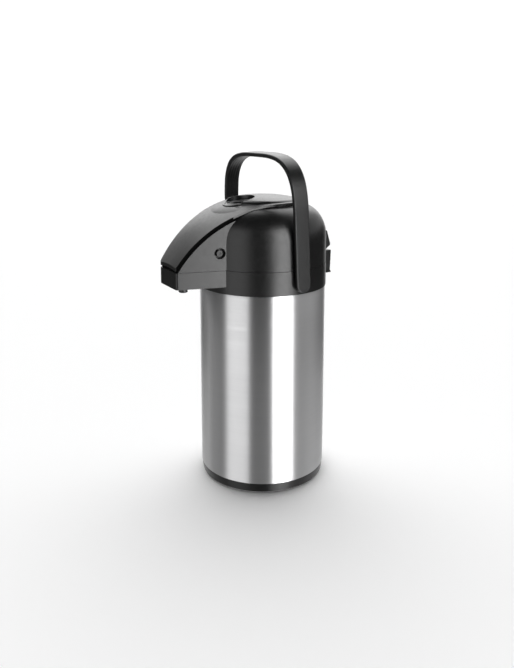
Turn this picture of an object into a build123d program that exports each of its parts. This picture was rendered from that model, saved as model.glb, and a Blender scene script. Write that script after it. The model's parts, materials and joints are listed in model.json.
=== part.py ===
"""Thermal coffee airpot: a vacuum flask with a hinged pump lid, a pouring nose and a carrying bail.

Millimetres, +Z up.  The origin is on the body's axis at the underside of the foot pad.
The pouring nose points along -Y, the lid hinge is at +Y and the bail turns about X.
"""
from build123d import *
import math
import os

os.makedirs("parts", exist_ok=True)

# ------------------------------------------------------------------ driving dimensions
# Vessel
body_radius = 72.5          # outside of the steel shell
steel_wall = 0.6            # shell and flask sheet
vacuum_gap = 5.0            # between the shell and the flask, sides
flask_floor_gap = 5.0       # between the shell's bottom plate and the flask's floor
foot_height = 11.5          # black foot ring under the shell
shadow_line = 0.6           # recess between the foot ring and the shell
body_top = 226.4            # shoulder of the steel shell
shoulder_rise = 13.1        # from that shoulder to the foot of the neck
neck_radius = 35.2          # outside of the steel neck
neck_length = 6.4

# Foot
foot_clearance = 0.8        # foot ring's underside above the table
foot_wall = 2.0
foot_floor = 2.4
pad_radius = 60.0
pad_thickness = 2.0
spigot_height = 8.5         # foot ring's spigot inside the shell
spigot_fit = 0.2

# Collar and lid, which share one parting line
collar_radius = 73.3
collar_height = 26.2
collar_wall = 2.2
parting_gap = 0.3
lid_radius = 73.0
lid_wall = 2.6
lid_straight = 29.4         # upright part of the lid's side above the parting line
lid_crown_height = 36.5     # rounded part above that
button_radius = 41.6
button_gap = 0.6

# Pouring nose, shared by the collar and the lid
nose_reach = 117.5          # front face from the body's axis
nose_root_y = 64.5
nose_root_half = 34.5       # half width where it leaves the dome
nose_tip_half = 22.0
nose_wall = 2.6
nose_floor = 2.4
nose_drop = 18.2            # nose's underside below the parting line
nose_corner = 3.0
crest_center_y = 4.3        # the nose's back is one barrel about an axis along X
crest_below_parting = 70.8
crest_radius = 144.6
crest_crown = 250.0         # barrel's radius across the nose
cover_thickness = 2.0
cover_inlay = 1.2           # depth of the cover where it lies flush in the dome
cover_ring = 3.3            # cover's ring round the button
cover_slot = 2.6            # dark line below the cover's edge
cover_slot_depth = 1.2

# Button and pump
button_stroke = 18.0
button_crown = 180.0
button_rise = 10.0          # crown's top above the lid's rim
button_edge = 6.0
button_wall = 2.2
guide_wall = 2.0
guide_margin = 8.5          # button's skirt still held by its guide at full stroke
bellows_radius = 33.0
bellows_fold = 5.5
bellows_wall = 1.3
bellows_folds = 5
spring_radius = 20.0
spring_wire = 1.8
spring_turns = 5

# Lock dial
dial_y = -31.0
dial_tilt = 9.0
dial_radius = 15.4
dial_post_radius = 17.8
dial_gap = 0.4
dial_thickness = 3.0
dial_shaft = 3.0
dial_height = 3.0           # dial's face above the lid's rim, at its centre

# Release buttons
release_y = -71.0
release_above_parting = 18.9
release_radius = 3.5
release_recess = 6.0
release_cup = 8.0           # depth of the cup behind the recess

# Siphon
tube_radius = 5.0
tube_wall = 1.0
delivery_radius = 4.0
delivery_wall = 1.2
nozzle_y = -100.0
nozzle_radius = 5.0
nozzle_drop = 8.4           # nozzle's mouth below the nose
head_thickness = 9.0
gasket_thickness = 1.0

# Rear hinge
hinge_y = 77.2
hinge_above_parting = 5.4
hinge_half = 22.0
hinge_back = 81.0
hinge_pin_radius = 1.5
knuckle_half = 8.0
knuckle_radius = 3.2
hinge_side_gap = 0.3

# Carrying bail
bail_pivot_y = 5.0
bail_below_parting = 14.3
bail_half = 81.0
bail_strap = 4.8
bail_width = 17.6
bail_straight = 57.7        # straight leg above the pivot
bail_arch = 80.2
bail_power = 3.6            # superellipse exponent of the arch
bail_lean = 2.7
bail_pin = 4.5
bush_wall = 1.5
bush_flange = 8.8

# Fits and screws
running_fit = 0.05
slip_fit = 0.1
body_gap = 0.3              # between pieces that move past each other
screw_radius = 1.4
screw_head = 3.0

# ------------------------------------------------------------------ heights that follow
foot_top = foot_height
shell_low = foot_top + shadow_line
spigot_top = foot_top + spigot_height
shell_inner = body_radius - steel_wall
plate_top = spigot_top + 2.8
flask_radius = shell_inner - vacuum_gap + steel_wall
flask_low = plate_top + flask_floor_gap
neck_foot = body_top + shoulder_rise + 1.5
neck_top = neck_foot + neck_length
flask_top = neck_top + steel_wall
flask_neck = neck_radius - steel_wall - running_fit
parting = body_top + collar_height
collar_top = parting - parting_gap / 2
lid_low = parting + parting_gap / 2
dome_turn = parting + lid_straight
rim_z = dome_turn + lid_crown_height
nose_low = parting - nose_drop
hole_radius = button_radius + button_gap
head_low = flask_top + gasket_thickness
head_top = head_low + head_thickness
seal_low = head_top + body_gap
pump_low = seal_low + 1.2
plate_low = pump_low + 0.5
plate_high = plate_low + 2.0
flange_top = plate_high + 2.0
guide_length = button_stroke + guide_margin
guide_low = rim_z - guide_length
press_top = guide_low
press_low = press_top - 2.0
bellows_top = press_low
button_low = guide_low - 2.6
hinge_z = parting + hinge_above_parting
crest_center_z = parting - crest_below_parting
bail_pivot_z = parting - bail_below_parting
release_z = parting + release_above_parting
dial_z = rim_z + dial_height
shoulder_in = body_radius - 4.0
shoulder_slope = shoulder_rise / (shoulder_in - neck_radius - 3.0)


def save(piece, name):
    """Label a finished piece and write it under its node's name."""
    piece.part.label = name
    export_step(piece.part, f"parts/{name}.step")


def nose_half(y):
    """Half width of the nose at a place along Y (straight taper)."""
    taper = (nose_root_half - nose_tip_half) / (nose_reach - nose_root_y)
    return nose_tip_half + (nose_reach + y) * taper


def nose_block(inset, back_y, z_low, z_high, corner):
    """Upright block with the nose's tapered outline, moved in by inset."""
    front = -nose_reach + inset
    with BuildPart() as block:
        with BuildSketch(Plane.XY.offset(z_low)) as plan:
            with BuildLine():
                Polyline(
                    (nose_half(front) - inset, front),
                    (nose_half(back_y) - inset, back_y),
                    (-nose_half(back_y) + inset, back_y),
                    (-nose_half(front) + inset, front),
                    close=True,
                )
            make_face()
            fillet(plan.vertices().group_by(Axis.Y)[0], corner)
        extrude(amount=z_high - z_low)
    return block.part


def crest(drop):
    """Barrel about an axis along X whose skin is the back of the nose, lowered by drop."""
    radius = crest_radius - drop
    half = 60.0
    edge = radius - half * half / (2 * crest_crown)
    with BuildPart() as barrel:
        with BuildSketch(Plane((0, crest_center_y, crest_center_z), (1, 0, 0), (0, -1, 0))):
            with BuildLine():
                Polyline((-half, edge), (-half, 0), (half, 0), (half, edge))
                ThreePointArc((-half, edge), (0, radius), (half, edge))
            make_face()
        revolve(axis=Axis((0, crest_center_y, crest_center_z), (1, 0, 0)))
    return barrel.part


def dome(inset, z_low):
    """Solid of the lid's round body, every skin moved in by inset."""
    side = lid_radius - inset
    across = lid_radius - hole_radius - inset
    up = lid_crown_height - inset
    with BuildPart() as body:
        with BuildSketch(Plane.XZ):
            with BuildLine():
                Polyline(
                    (hole_radius, dome_turn + up),
                    (0, dome_turn + up),
                    (0, z_low),
                    (side, z_low),
                    (side, dome_turn),
                )
                EllipticalCenterArc(
                    (hole_radius, dome_turn), across, up, start_angle=0, arc_size=90
                )
            make_face()
        revolve(axis=Axis.Z)
    return body.part


def disc(radius, z_low, z_high, bore=0.0):
    """Flat round piece on the body's axis, with an optional bore."""
    with BuildPart() as plate:
        with BuildSketch(Plane.XY.offset(z_low)):
            Circle(radius)
            if bore:
                Circle(bore, mode=Mode.SUBTRACT)
        extrude(amount=z_high - z_low)
    return plate.part


def turned(*outline):
    """Solid of revolution from an outline of (radius, height) points."""
    with BuildPart() as body:
        with BuildSketch(Plane.XZ):
            with BuildLine():
                Polyline(*outline, close=True)
            make_face()
        revolve(axis=Axis.Z)
    return body.part


def sheet_turned(wall, *outline):
    """Sheet-metal solid of revolution: an outline of points thickened to its left by wall."""
    with BuildPart() as body:
        with BuildSketch(Plane.XZ):
            with BuildLine() as path:
                Polyline(*outline)
                offset(amount=wall, side=Side.LEFT, kind=Kind.INTERSECTION)
            make_face(path.edges())
        revolve(axis=Axis.Z)
    return body.part


def along_x(x, y, z):
    """Plane facing +X at a point, with its own y up."""
    return Plane((x, y, z), (0, 1, 0), (1, 0, 0))


def side_rod(side, radius, x_from, x_to, y, z):
    """Round rod along X on one side, between two distances from the middle plane."""
    with BuildPart() as rod:
        with BuildSketch(along_x(side * x_from, y, z)):
            Circle(radius)
        extrude(amount=side * (x_to - x_from))
    return rod.part


# ------------------------------------------------------------------ foot
# The foot ring closes the shell from below.  Its spigot stands inside the shell, and a low rib
# carries the shell's edge, which leaves a thin shadow line between plastic and steel.
spigot_radius = shell_inner - spigot_fit
with BuildPart() as base_cover:
    add(turned(
        (0, foot_clearance),
        (body_radius - 3.0, foot_clearance),
        (body_radius - 1.5, foot_clearance + 1.4),
        (body_radius - 0.2, foot_top),
        (shell_inner + spigot_fit, foot_top),
        (shell_inner + spigot_fit, shell_low),
        (spigot_radius, shell_low),
        (spigot_radius, spigot_top),
        (spigot_radius - foot_wall, spigot_top),
        (spigot_radius - foot_wall, foot_clearance + foot_floor),
        (0, foot_clearance + foot_floor),
    ))
    with BuildSketch(Plane.XY):
        Circle(pad_radius + slip_fit)
    extrude(amount=pad_thickness, mode=Mode.SUBTRACT)
save(base_cover, "base_cover")

pad_groove = 0.6
with BuildPart() as anti_slip_pad:
    add(disc(pad_radius, 0, pad_thickness))
    for groove_radius in (pad_radius * 0.55, pad_radius * 0.8):
        with BuildSketch(Plane.XY):
            Circle(groove_radius + pad_groove)
            Circle(groove_radius - pad_groove, mode=Mode.SUBTRACT)
        extrude(amount=pad_groove, mode=Mode.SUBTRACT)
save(anti_slip_pad, "anti_slip_pad")

# ------------------------------------------------------------------ vacuum vessel
with BuildPart() as outer_shell:
    add(sheet_turned(
        steel_wall,
        (body_radius, shell_low),
        (body_radius, body_top - 1.0),
        (body_radius - 1.0, body_top),
        (shoulder_in, body_top),
        (neck_radius + 3.0, body_top + shoulder_rise),
        (neck_radius, neck_foot),
        (neck_radius, neck_top),
    ))
save(outer_shell, "outer_shell")

# Bottom plate: a shallow cup whose rim is welded inside the shell and stands on the foot's spigot.
plate_sheet = 0.8
with BuildPart() as shell_bottom:
    add(turned(
        (0, plate_top),
        (0, plate_top - plate_sheet),
        (shell_inner - running_fit - plate_sheet, plate_top - plate_sheet),
        (shell_inner - running_fit - plate_sheet, spigot_top),
        (shell_inner - running_fit, spigot_top),
        (shell_inner - running_fit, plate_top),
    ))
save(shell_bottom, "shell_bottom")

port_radius = 6.0
with BuildPart() as vacuum_port_cap:
    add(disc(port_radius, plate_top - plate_sheet - 1.4, plate_top - plate_sheet))
    chamfer(vacuum_port_cap.edges().group_by(Axis.Z)[0], 0.6)
save(vacuum_port_cap, "vacuum_port_cap")

flask_corner = 6.0
with BuildPart() as inner_flask:
    add(sheet_turned(
        steel_wall,
        (0, flask_low),
        (flask_radius - flask_corner, flask_low),
        (flask_radius, flask_low + flask_corner),
        (flask_radius, body_top - 8.0),
        (flask_radius - 2.0, body_top - 5.0),
        (neck_radius + 2.0, body_top + shoulder_rise - 6.0),
        (flask_neck, body_top + shoulder_rise - 3.5),
        (flask_neck, neck_top),
        (neck_radius + 0.8, neck_top),
    ))
save(inner_flask, "inner_flask")

# ------------------------------------------------------------------ collar
# The collar's wall stands on the steel shoulder, its conical floor follows the shoulder up to the
# neck, and a clamp ring holds its hub down.  The lower half of the nose is a trough in front.
bush_radius = bail_pin + running_fit + bush_wall
boss_face = collar_radius + body_gap
boss_radius = bush_radius + 3.5
boss_depth = 6.6
cone_gap = 0.5
floor_thick = 2.3
hub_radius = neck_radius + 8.8
hub_low = neck_foot + 0.3
hub_top = hub_low + 2.2
wall_in = collar_radius - collar_wall


def cone_z(radius):
    """Height of the collar floor's underside over the steel shoulder."""
    return body_top + cone_gap + (shoulder_in - radius) * shoulder_slope


collar_ring = turned(
    (collar_radius, body_top),
    (collar_radius, collar_top),
    (wall_in, collar_top),
    (wall_in, cone_z(shoulder_in) + floor_thick),
    (shoulder_in, cone_z(shoulder_in) + floor_thick),
    (hub_radius, cone_z(hub_radius) + floor_thick),
    (hub_radius, hub_top),
    (neck_radius + 0.8, hub_top),
    (neck_radius + 0.8, hub_low),
    (neck_radius + 4.0, cone_z(neck_radius + 4.0)),
    (shoulder_in, cone_z(shoulder_in)),
    (shoulder_in + 0.8, body_top),
)
nose_trough = nose_block(0, -nose_root_y + 12, nose_low, collar_top, nose_corner)
trough_hollow = nose_block(
    nose_wall, -nose_root_y + 8, nose_low + nose_floor, collar_top + 1, nose_corner / 3
)
collar_inside = disc(wall_in + 1, nose_low - 1, collar_top + 1)
hinge_screw_x = 15.0
hinge_screw_z = nose_low + 8.6
keeper_z = collar_top - 2.4
keeper_in = nose_half(release_y) - nose_wall - 4.6

with BuildPart() as collar:
    add(nose_trough)
    add(collar_inside, mode=Mode.SUBTRACT)
    add(collar_ring)
    for side in (-1, 1):
        # pivot boss of the bail
        with BuildSketch(along_x(side * boss_face, bail_pivot_y, bail_pivot_z)):
            Circle(boss_radius)
        extrude(amount=-side * boss_depth)
        # screw boss of the rear hinge, inside the wall
        with BuildSketch(Plane.XZ.offset(-collar_radius + 3.4)):
            with Locations((side * hinge_screw_x, hinge_screw_z)):
                Circle(screw_radius + 2.2)
        extrude(amount=8.0)
    add(trough_hollow, mode=Mode.SUBTRACT)
    for side in (-1, 1):
        with BuildSketch(along_x(side * (boss_face + 1), bail_pivot_y, bail_pivot_z)):
            Circle(bush_radius + running_fit)
        extrude(amount=-side * (boss_depth + 4), mode=Mode.SUBTRACT)
        with BuildSketch(Plane.XZ.offset(-collar_radius - 1)):
            with Locations((side * hinge_screw_x, hinge_screw_z)):
                Circle(screw_radius + running_fit)
        extrude(amount=14.0, mode=Mode.SUBTRACT)
        # keeper for the lid's catch, on the trough's side wall
        with BuildSketch(Plane.XY.offset(keeper_z)):
            with Locations((side * (keeper_in + 3.0), release_y)):
                Rectangle(6.0, 8.0)
        extrude(amount=1.6)
    # hole for the nozzle
    with BuildSketch(Plane.XY.offset(nose_low - 1)):
        with Locations((0, nozzle_y)):
            Circle(nozzle_radius + slip_fit)
    extrude(amount=nose_floor + 2, mode=Mode.SUBTRACT)
save(collar, "collar")

clamp_grip = 8
with BuildPart() as neck_clamp_ring:
    add(disc(hub_radius - 0.5, hub_top, neck_top - 0.4, neck_radius + running_fit))
    with BuildSketch(Plane.XY.offset(hub_top)):
        with PolarLocations(hub_radius - 0.5, clamp_grip):
            Circle(2.0)
    extrude(amount=neck_top - 0.4 - hub_top, mode=Mode.SUBTRACT)
save(neck_clamp_ring, "neck_clamp_ring")

# ------------------------------------------------------------------ siphon and spout
flask_mouth = flask_neck - steel_wall
head_radius = neck_radius + 2.8
head_skirt = flask_mouth - 0.45
skirt_depth = 11.0
channel_radius = delivery_radius - delivery_wall
channel_z = head_low + head_thickness / 2
socket_depth = 4.0
air_hole = 2.5
air_ring = 20.0

with BuildPart() as neck_gasket:
    add(disc(head_radius, flask_top, head_low, flask_mouth - 0.2))
save(neck_gasket, "neck_gasket")

with BuildPart() as siphon_head:
    with BuildSketch(Plane.XY.offset(head_low)):
        Circle(head_radius)
    extrude(amount=head_thickness)
    with BuildSketch(Plane.XY.offset(head_low)):
        Circle(head_skirt)
        Circle(head_skirt - 2.0, mode=Mode.SUBTRACT)
        Circle(tube_radius + 3.0)
        Rectangle(2 * head_skirt - 2.0, 2.4)
    extrude(amount=-skirt_depth)
    chamfer(siphon_head.edges().group_by(Axis.Z)[-1], 0.8)
    # socket for the riser, then the channel that turns forward
    with BuildSketch(Plane.XY.offset(head_low - skirt_depth)):
        Circle(tube_radius + running_fit)
    extrude(amount=skirt_depth - 1.0, mode=Mode.SUBTRACT)
    with BuildSketch(Plane.XY.offset(head_low - 2.0)):
        Circle(channel_radius)
    extrude(amount=channel_z - head_low + 2.0, mode=Mode.SUBTRACT)
    with BuildSketch(Plane.XZ):
        with Locations((0, channel_z)):
            Circle(channel_radius)
    extrude(amount=head_radius + 1, mode=Mode.SUBTRACT)
    with BuildSketch(Plane.XZ.offset(head_radius - socket_depth)):
        with Locations((0, channel_z)):
            Circle(delivery_radius + running_fit)
    extrude(amount=socket_depth + 1, mode=Mode.SUBTRACT)
    # air passes down through these holes
    with BuildSketch(Plane.XY.offset(head_low - 1)):
        with PolarLocations(air_ring, 4, start_angle=45):
            Circle(air_hole)
    extrude(amount=head_thickness + 2, mode=Mode.SUBTRACT)
save(siphon_head, "siphon_head")

tube_top = head_low - 1.0
tube_low = flask_low + steel_wall + 5.0
with BuildPart() as siphon_tube:
    add(disc(tube_radius, tube_low, tube_top, tube_radius - tube_wall))
    with BuildSketch(Plane.XZ.offset(-tube_radius - 1)):
        with Locations((0, tube_low)):
            Rectangle(tube_radius, 6.0)
    extrude(amount=2 * tube_radius + 2, mode=Mode.SUBTRACT)
save(siphon_tube, "siphon_tube")

trough_floor = nose_low + nose_floor
nozzle_seat = trough_floor + 0.8
socket_z = trough_floor + 0.5
bend_z = channel_z - 6.0
with BuildPart() as delivery_tube:
    with BuildLine(Plane.YZ) as tube_path:
        FilletPolyline(
            (-head_radius + socket_depth, channel_z),
            (-head_radius - 14.0, channel_z),
            (nozzle_y, bend_z),
            (nozzle_y, socket_z),
            radius=[20.0, 7.0],
        )
    with BuildSketch(Plane(tube_path.line @ 0, (1, 0, 0), tube_path.line % 0)):
        Circle(delivery_radius)
        Circle(delivery_radius - delivery_wall, mode=Mode.SUBTRACT)
    sweep()
save(delivery_tube, "delivery_tube")

nozzle_flange = 7.5
with BuildPart() as spout_nozzle:
    with BuildSketch(Plane.XY.offset(nozzle_seat)):
        with Locations((0, nozzle_y)):
            Circle(nozzle_flange)
    extrude(amount=2.0)
    with BuildSketch(Plane.XY.offset(nose_low - nozzle_drop)):
        with Locations((0, nozzle_y)):
            Circle(nozzle_radius)
    extrude(amount=nozzle_seat - nose_low + nozzle_drop)
    fillet(spout_nozzle.edges().group_by(Axis.Z)[0], 1.0)
    with BuildSketch(Plane.XY.offset(nose_low - nozzle_drop - 1)):
        with Locations((0, nozzle_y)):
            Circle(channel_radius)
    extrude(amount=nozzle_drop + 8, mode=Mode.SUBTRACT)
    with BuildSketch(Plane.XY.offset(socket_z)):
        with Locations((0, nozzle_y)):
            Circle(delivery_radius + running_fit)
    extrude(amount=5.0, mode=Mode.SUBTRACT)
save(spout_nozzle, "spout_nozzle")

with BuildPart() as nozzle_gasket:
    with BuildSketch(Plane.XY.offset(trough_floor)):
        with Locations((0, nozzle_y)):
            Circle(nozzle_flange)
            Circle(nozzle_radius + slip_fit, mode=Mode.SUBTRACT)
    extrude(amount=nozzle_seat - trough_floor)
save(nozzle_gasket, "nozzle_gasket")

# ------------------------------------------------------------------ rear hinge, fixed half
bracket_low = nose_low - 0.9
bracket_top = hinge_z + 2.5
bracket_relief = 1.2
with BuildPart() as hinge_bracket:
    with BuildSketch(Plane.YZ.offset(-hinge_half)):
        with BuildLine():
            Polyline(
                (collar_radius - 6, bracket_low),
                (hinge_back + 1.0, bracket_low),
                (hinge_back + 1.0, bracket_low + 1.0),
                (hinge_back - 1.0, bracket_low + 3.0),
                (hinge_back, bracket_top),
                (collar_radius - 6, bracket_top),
                close=True,
            )
        make_face()
    extrude(amount=2 * hinge_half)
    fillet(hinge_bracket.edges().filter_by(Axis.Z), 1.5)
    with BuildSketch(Plane.XY.offset(bracket_low)):
        Circle(collar_radius + running_fit)
    extrude(amount=collar_height + nose_drop, mode=Mode.SUBTRACT)
    # room for the lid's side as it swings
    with BuildSketch(Plane.XY.offset(collar_top)):
        Circle(lid_radius + bracket_relief)
    extrude(amount=collar_height, mode=Mode.SUBTRACT)
    # pocket for the lid's knuckle
    with BuildSketch(Plane.XY.offset(hinge_z - knuckle_radius - 0.5)):
        with Locations((0, hinge_y)):
            Rectangle(2 * (knuckle_half + hinge_side_gap), 20)
    extrude(amount=20, mode=Mode.SUBTRACT)
    # pin bore and screw holes
    with BuildSketch(Plane.YZ.offset(-knuckle_half - 6.0)):
        with Locations((hinge_y, hinge_z)):
            Circle(hinge_pin_radius + 0.02)
    extrude(amount=2 * (knuckle_half + 6.0), mode=Mode.SUBTRACT)
    for side in (-1, 1):
        with BuildSketch(Plane.XZ.offset(-hinge_back - 2)):
            with Locations((side * hinge_screw_x, hinge_screw_z)):
                Circle(screw_head + slip_fit)
        extrude(amount=4.0, mode=Mode.SUBTRACT)
        with BuildSketch(Plane.XZ.offset(-hinge_back - 2)):
            with Locations((side * hinge_screw_x, hinge_screw_z)):
                Circle(screw_radius + slip_fit)
        extrude(amount=14.0, mode=Mode.SUBTRACT)
save(hinge_bracket, "hinge_bracket")

with BuildPart() as hinge_pin:
    add(side_rod(1, hinge_pin_radius, -knuckle_half - 5.8, knuckle_half + 5.8, hinge_y, hinge_z))
save(hinge_pin, "hinge_pin")

with BuildPart() as hinge_screws:
    for side in (-1, 1):
        with BuildSketch(Plane.XZ.offset(-hinge_back + 2)):
            with Locations((side * hinge_screw_x, hinge_screw_z)):
                Circle(screw_head)
        extrude(amount=-1.5)
        with BuildSketch(Plane.XZ.offset(-hinge_back + 2)):
            with Locations((side * hinge_screw_x, hinge_screw_z)):
                Circle(screw_radius)
        extrude(amount=14.0)
save(hinge_screws, "hinge_screws")

# ------------------------------------------------------------------ bail and its pivots
leg_inner = bail_half - bail_strap
bush_face = leg_inner - body_gap
pin_end = boss_face - boss_depth - 2.4
clip_thick = 1.0
clip_groove = bail_pin - 0.9


def arch_points(inset):
    """Points of the arch's superellipse, from the right leg over to the left one."""
    half = bail_half - inset
    rise = bail_arch - inset
    steps = 16
    points = []
    for step in range(steps + 1):
        angle = math.pi * step / steps
        x = half * math.copysign(abs(math.cos(angle)) ** (2 / bail_power), math.cos(angle))
        points.append((x, bail_straight + rise * abs(math.sin(angle)) ** (2 / bail_power)))
    return points


lean = math.radians(bail_lean)
bail_plane = Plane(
    (0, bail_pivot_y, bail_pivot_z), (1, 0, 0), (0, -math.cos(lean), -math.sin(lean))
)
side_plane = Plane((0, bail_pivot_y, bail_pivot_z), (0, math.cos(lean), math.sin(lean)), (1, 0, 0))
bail_top = bail_straight + bail_arch
end_round = bail_width / 2
with BuildPart() as carry_handle:
    with BuildSketch(bail_plane):
        with BuildLine():
            Spline(*arch_points(0), tangents=((0, 1), (0, -1)))
            Polyline((-bail_half, bail_straight), (-bail_half, -end_round), (-leg_inner, -end_round))
            Line((-leg_inner, -end_round), (-leg_inner, bail_straight))
            Spline(*arch_points(bail_strap), tangents=((0, 1), (0, -1)))
            Polyline((leg_inner, bail_straight), (leg_inner, -end_round), (bail_half, -end_round))
            Line((bail_half, -end_round), (bail_half, bail_straight))
        make_face()
    extrude(amount=bail_width / 2, both=True)
    # round the two lower ends about the pivot
    with BuildSketch(side_plane):
        Circle(end_round)
        with Locations((0, bail_top / 2)):
            Rectangle(bail_width, bail_top)
    extrude(amount=bail_half + 1, both=True, mode=Mode.INTERSECT)
    fillet(carry_handle.edges().filter_by(GeomType.BSPLINE), 1.2)
    # pivot pins with a clip groove near each end
    for side in (-1, 1):
        with BuildSketch(along_x(side * leg_inner, bail_pivot_y, bail_pivot_z)):
            Circle(bail_pin)
        extrude(amount=-side * (leg_inner - pin_end))
        with BuildSketch(along_x(side * (pin_end + 1.2), bail_pivot_y, bail_pivot_z)):
            Circle(bail_pin + 1)
            Circle(clip_groove, mode=Mode.SUBTRACT)
        extrude(amount=side * (clip_thick + slip_fit), mode=Mode.SUBTRACT)
save(carry_handle, "carry_handle")

for side, word in ((-1, "left"), (1, "right")):
    with BuildPart() as handle_clip:
        with BuildSketch(along_x(side * (pin_end + 1.2), bail_pivot_y, bail_pivot_z)):
            Circle(bail_pin + 1.5)
            Circle(clip_groove + running_fit, mode=Mode.SUBTRACT)
            with Locations((0, bail_pin)):
                Rectangle(4.0, 2 * bail_pin, mode=Mode.SUBTRACT)
        extrude(amount=side * clip_thick)
    save(handle_clip, f"handle_clip_{word}")

    with BuildPart() as pivot_bush:
        with BuildSketch(along_x(side * boss_face, bail_pivot_y, bail_pivot_z)):
            Circle(bush_flange)
        extrude(amount=side * (bush_face - boss_face))
        with BuildSketch(along_x(side * boss_face, bail_pivot_y, bail_pivot_z)):
            Circle(bush_radius)
        extrude(amount=-side * boss_depth)
        with BuildSketch(along_x(side * bush_face, bail_pivot_y, bail_pivot_z)):
            Circle(bail_pin + running_fit)
        extrude(amount=-side * (bush_face - boss_face + boss_depth + 1), mode=Mode.SUBTRACT)
    save(pivot_bush, f"pivot_bush_{word}")

# ------------------------------------------------------------------ lid
dome_skin = dome(0, lid_low)
dome_hollow = dome(lid_wall, lid_low - 1)
cover_bed = dome(cover_inlay, lid_low)
nose_back = -nose_root_y + 14
sky = rim_z + 20
nose_full = nose_block(0, nose_back, lid_low, sky, nose_corner)
nose_slot = nose_block(cover_slot_depth, nose_back, lid_low, sky, nose_corner)
nose_hollow = nose_block(nose_wall, nose_back, lid_low - 1, sky, nose_corner / 3)

with BuildPart() as nose_core:
    add(nose_full)
    add(crest(cover_thickness + cover_slot), mode=Mode.INTERSECT)
with BuildPart() as nose_rib:
    add(nose_slot)
    add(crest(cover_thickness), mode=Mode.INTERSECT)
with BuildPart() as nose_cavity:
    add(nose_hollow)
    add(crest(2 * cover_thickness), mode=Mode.INTERSECT)

# The cover's outline from above: the nose, running into a ring round the button.
plan_back = -nose_root_y + 8
with BuildPart() as cover_plan:
    with BuildSketch(Plane.XY.offset(lid_low)):
        with BuildLine():
            CenterArc((0, 0), hole_radius + cover_ring, 0, 360)
            Polyline(
                (nose_half(-nose_reach), -nose_reach),
                (nose_half(plan_back), plan_back),
                (-nose_half(plan_back), plan_back),
                (-nose_half(-nose_reach), -nose_reach),
                close=True,
            )
        make_hull()
    extrude(amount=sky - lid_low)
    fillet(cover_plan.edges().filter_by(Axis.Z).group_by(Axis.Y)[0], nose_corner)
with BuildPart() as cover_over:
    add(crest(0))
    add(dome_skin)
with BuildPart() as cover_under:
    add(crest(cover_thickness))
    add(cover_bed)
with BuildPart() as cover_layer:
    add(cover_plan.part)
    add(cover_over.part, mode=Mode.INTERSECT)
    add(cover_under.part, mode=Mode.SUBTRACT)

with BuildPart() as top_cover:
    add(cover_layer.part)
    with BuildSketch(Plane.XY.offset(lid_low)):
        Circle(hole_radius)
        with Locations((0, dial_y)):
            Circle(dial_post_radius + slip_fit)
    extrude(amount=rim_z, mode=Mode.SUBTRACT)
save(top_cover, "top_cover")

# Lock dial: a slanted face on an upright post that the button's notch passes round.
dial_plane = Plane(
    (0, dial_y, dial_z),
    (1, 0, 0),
    (0, -math.sin(math.radians(dial_tilt)), math.cos(math.radians(dial_tilt))),
)
post_low = rim_z - 10.0
post_hollow = 4.8
pocket_depth = dial_thickness + dial_gap
cam_drop = dial_z - post_low - 1.4
boss_ring = lid_radius - 11.0
lid_boss = 4.0
lid_screw_bite = 9.0
recess_x = nose_half(release_y)
cup_wall = 1.4
cup_in = recess_x - release_cup
wedge_out = hinge_back - 1.0

with BuildPart() as lid_fittings:
    # guide of the button and four screw bosses, trimmed by the dome's skin
    with BuildSketch(Plane.XY.offset(guide_low)):
        Circle(hole_radius + guide_wall)
    extrude(amount=guide_length)
    with BuildSketch(Plane.XY.offset(plate_high)):
        with PolarLocations(boss_ring, 4, start_angle=45):
            Circle(lid_boss)
    extrude(amount=rim_z - plate_high)
    add(dome_skin, mode=Mode.INTERSECT)
with BuildPart() as release_cups:
    for side in (-1, 1):
        add(side_rod(side, release_recess + cup_wall, cup_in, recess_x + 4, release_y, release_z))
    add(nose_full, mode=Mode.INTERSECT)

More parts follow.
